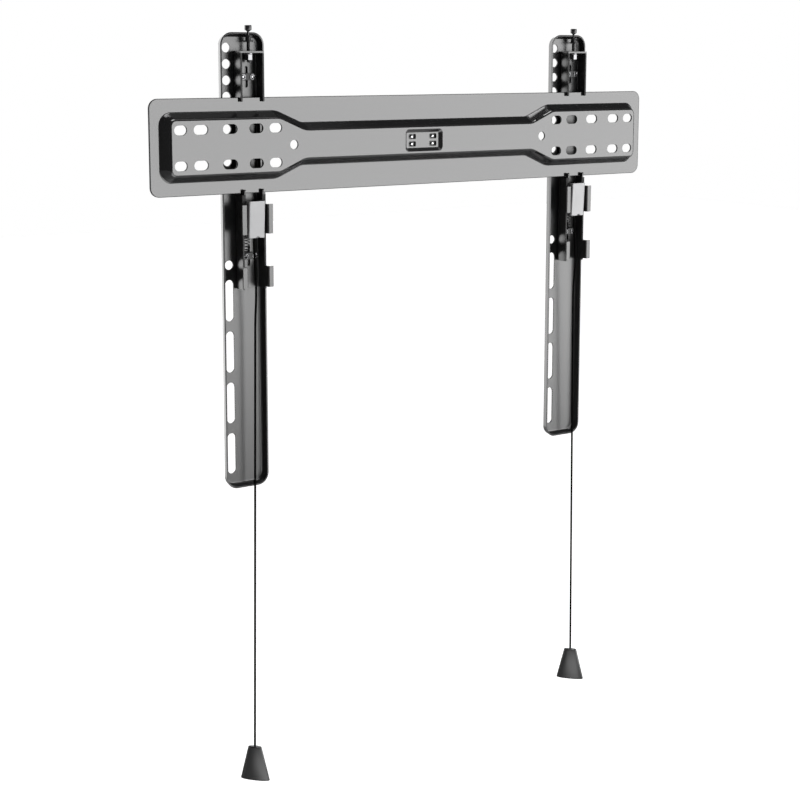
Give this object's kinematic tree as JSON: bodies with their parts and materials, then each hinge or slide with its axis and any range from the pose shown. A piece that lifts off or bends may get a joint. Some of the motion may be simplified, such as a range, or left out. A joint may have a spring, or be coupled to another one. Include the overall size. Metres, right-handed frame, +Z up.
{
  "type": "fixed tv wall bracket",
  "caption": "Flat fixed wall bracket for a television: pressed wall plate with a level, and hook-on arms with height screws and cord-released latches.",
  "frame": {"origin": "centre of the wall plate on the plane of the wall", "axes": "+X along the wall plate to the right as seen from the wall side, +Y from the wall towards the screen, +Z up"},
  "size_m": [0.6, 0.0244, 0.7465],
  "materials": {
    "plate_paint": "satin black powder coat",
    "arm_paint": "glossy black powder coat",
    "black_zinc": "black zinc plate, semi-gloss",
    "bright_zinc": "bright zinc plate",
    "satin_zinc": "satin zinc plate",
    "spring_steel": "dark spring steel",
    "cord_nylon": "black braided nylon",
    "tab_plastic": "dark grey moulded plastic, fine texture",
    "level_plastic": "black moulded plastic",
    "vial_plastic": "clear plastic vial with yellow-green liquid"
  },
  "bodies": {
    "root": {"wall_plate": "plate_paint", "level_housing": "level_plastic", "level_vial": "vial_plastic", "level_pins": "bright_zinc"},
    "carriage_left": {"hook_carriage_left": "arm_paint", "carriage_nut_left": "bright_zinc", "upper_guide_strap_left": "black_zinc", "upper_guide_rivets_left": "black_zinc", "lower_guide_strap_left": "black_zinc", "lower_guide_rivets_left": "black_zinc", "latch_pin_left": "bright_zinc"},
    "rail_left": {"rail_left": "arm_paint", "guide_studs_left": "bright_zinc"},
    "screw_left": {"adjusting_screw_left": "black_zinc", "screw_collar_left": "black_zinc"},
    "latch_left": {"latch_left": "arm_paint", "latch_cover_left": "satin_zinc", "latch_spring_left": "spring_steel", "cord_stop_left": "bright_zinc", "release_cord_left": "cord_nylon", "pull_tab_left": "tab_plastic"},
    "carriage_right": {"hook_carriage_right": "arm_paint", "carriage_nut_right": "bright_zinc", "upper_guide_strap_right": "black_zinc", "upper_guide_rivets_right": "black_zinc", "lower_guide_strap_right": "black_zinc", "lower_guide_rivets_right": "black_zinc", "latch_pin_right": "bright_zinc"},
    "rail_right": {"rail_right": "arm_paint", "guide_studs_right": "bright_zinc"},
    "screw_right": {"adjusting_screw_right": "black_zinc", "screw_collar_right": "black_zinc"},
    "latch_right": {"latch_right": "arm_paint", "latch_cover_right": "satin_zinc", "latch_spring_right": "spring_steel", "cord_stop_right": "bright_zinc", "release_cord_right": "cord_nylon", "pull_tab_right": "tab_plastic"}
  },
  "joints": [
    {"name": "left_arm_slide", "type": "slide", "parent": "root", "child": "carriage_left", "axis": [1, 0, 0], "range_m": [-0.09, 0.11]},
    {"name": "left_height_slide", "type": "slide", "parent": "carriage_left", "child": "rail_left", "axis": [0, 0, 1], "range_m": [-0.006, 0.004]},
    {"name": "left_screw_turn", "type": "hinge", "parent": "rail_left", "child": "screw_left", "pos_m": [-0.1933, 0.0146, 0.1], "axis": [0, 0, 1], "range_deg": [-3100, 3100]},
    {"name": "left_latch_pull", "type": "slide", "parent": "carriage_left", "child": "latch_left", "axis": [0, 0, -1], "range_m": [0, 0.006], "stiffness_N_per_m": 1000, "springref_m": -0.002, "deforming": ["latch_spring_left"]},
    {"name": "right_arm_slide", "type": "slide", "parent": "root", "child": "carriage_right", "axis": [1, 0, 0], "range_m": [-0.11, 0.0765]},
    {"name": "right_height_slide", "type": "slide", "parent": "carriage_right", "child": "rail_right", "axis": [0, 0, 1], "range_m": [-0.006, 0.004]},
    {"name": "right_screw_turn", "type": "hinge", "parent": "rail_right", "child": "screw_right", "pos_m": [0.2067, 0.0146, 0.1], "axis": [0, 0, 1], "range_deg": [-3100, 3100]},
    {"name": "right_latch_pull", "type": "slide", "parent": "carriage_right", "child": "latch_right", "axis": [0, 0, -1], "range_m": [0, 0.006], "stiffness_N_per_m": 1000, "springref_m": -0.002, "deforming": ["latch_spring_right"]}
  ],
  "couplings": [
    {"joint": "left_screw_turn", "follows": "left_height_slide", "rad_per_m": 8976},
    {"joint": "right_screw_turn", "follows": "right_height_slide", "rad_per_m": 8976}
  ]
}
